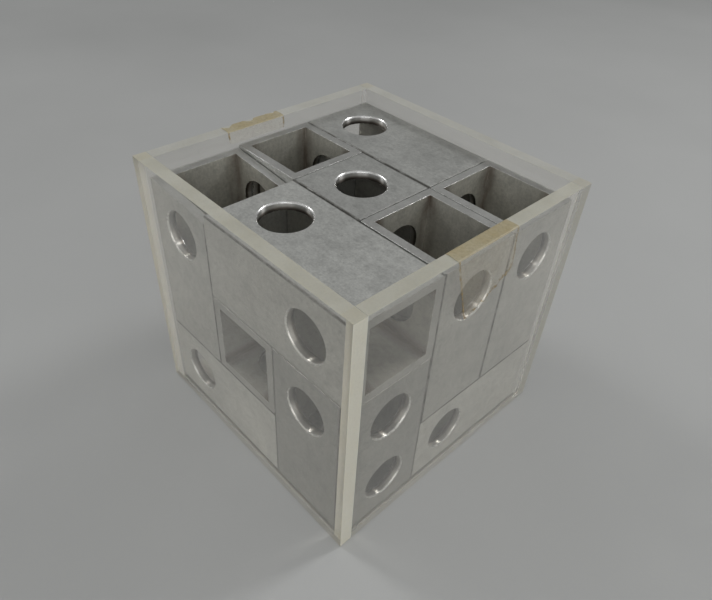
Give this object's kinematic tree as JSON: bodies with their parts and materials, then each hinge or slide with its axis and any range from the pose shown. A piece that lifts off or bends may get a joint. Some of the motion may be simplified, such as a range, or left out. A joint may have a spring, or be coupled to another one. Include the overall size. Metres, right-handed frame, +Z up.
{
  "type": "packing puzzle",
  "caption": "Cube packing puzzle: drilled square aluminium tubes and one short cube that lift out of an open-topped clear acrylic box.",
  "frame": {"origin": "centre of the underside of the acrylic box", "axes": "+Z up out of the open top, +X towards the right wall, -Y towards the front wall"},
  "size_m": [0.1008, 0.1, 0.0969],
  "materials": {
    "aluminium": "mill finish, sawn ends, drilled holes",
    "acrylic": "clear sheet with frosted, slightly yellowed sawn edges",
    "tape": "yellowed clear tape, torn"
  },
  "bodies": {
    "box": {"floor_sheet": "acrylic", "wall_front": "acrylic", "wall_back": "acrylic", "wall_left": "acrylic", "wall_right": "acrylic", "tape_left": "tape", "tape_right": "tape"},
    "front_left_upright": {"tube_front_left_upright": "aluminium"},
    "mid_left_upright": {"tube_mid_left_upright": "aluminium"},
    "mid_right_upright": {"tube_mid_right_upright": "aluminium"},
    "back_right_upright": {"tube_back_right_upright": "aluminium"},
    "front_right_upright": {"tube_front_right_upright": "aluminium"},
    "front_top": {"tube_front_top": "aluminium"},
    "back_top": {"tube_back_top": "aluminium"},
    "front_bottom": {"tube_front_bottom": "aluminium"},
    "right_bottom": {"tube_right_bottom": "aluminium"},
    "centre_middle": {"tube_centre_middle": "aluminium"},
    "back_left_upright": {"tube_back_left_upright": "aluminium"},
    "back_mid_upright": {"tube_back_mid_upright": "aluminium"},
    "mid_bottom": {"tube_mid_bottom": "aluminium"},
    "cube_top_centre": {"cube_top_centre": "aluminium"}
  },
  "joints": [
    {"name": "lift_mid_bottom", "type": "slide", "parent": "box", "child": "mid_bottom", "axis": [0, 0, 1], "range_m": [0, 0.1]},
    {"name": "lift_mid_left_upright", "type": "slide", "parent": "mid_bottom", "child": "mid_left_upright", "axis": [0, 0, 1], "range_m": [0, 0.07]},
    {"name": "lift_front_bottom", "type": "slide", "parent": "mid_bottom", "child": "front_bottom", "axis": [0, 0, 1], "range_m": [0, 0.1]},
    {"name": "lift_front_left_upright", "type": "slide", "parent": "front_bottom", "child": "front_left_upright", "axis": [0, 0, 1], "range_m": [0, 0.07]},
    {"name": "lift_front_right_upright", "type": "slide", "parent": "front_bottom", "child": "front_right_upright", "axis": [0, 0, 1], "range_m": [0, 0.1]},
    {"name": "lift_centre_middle", "type": "slide", "parent": "front_right_upright", "child": "centre_middle", "axis": [0, 0, 1], "range_m": [0, 0.07]},
    {"name": "lift_front_top", "type": "slide", "parent": "centre_middle", "child": "front_top", "axis": [0, 0, 1], "range_m": [0, 0.04]},
    {"name": "lift_cube_top_centre", "type": "slide", "parent": "centre_middle", "child": "cube_top_centre", "axis": [0, 0, 1], "range_m": [0, 0.04]},
    {"name": "lift_back_left_upright", "type": "slide", "parent": "box", "child": "back_left_upright", "axis": [0, 0, 1], "range_m": [0, 0.1]},
    {"name": "lift_back_mid_upright", "type": "slide", "parent": "back_left_upright", "child": "back_mid_upright", "axis": [0, 0, 1], "range_m": [0, 0.1]},
    {"name": "lift_back_top", "type": "slide", "parent": "back_mid_upright", "child": "back_top", "axis": [0, 0, 1], "range_m": [0, 0.04]},
    {"name": "lift_right_bottom", "type": "slide", "parent": "box", "child": "right_bottom", "axis": [0, 0, 1], "range_m": [0, 0.1]},
    {"name": "lift_mid_right_upright", "type": "slide", "parent": "right_bottom", "child": "mid_right_upright", "axis": [0, 0, 1], "range_m": [0, 0.07]},
    {"name": "lift_back_right_upright", "type": "slide", "parent": "right_bottom", "child": "back_right_upright", "axis": [0, 0, 1], "range_m": [0, 0.07]}
  ]
}
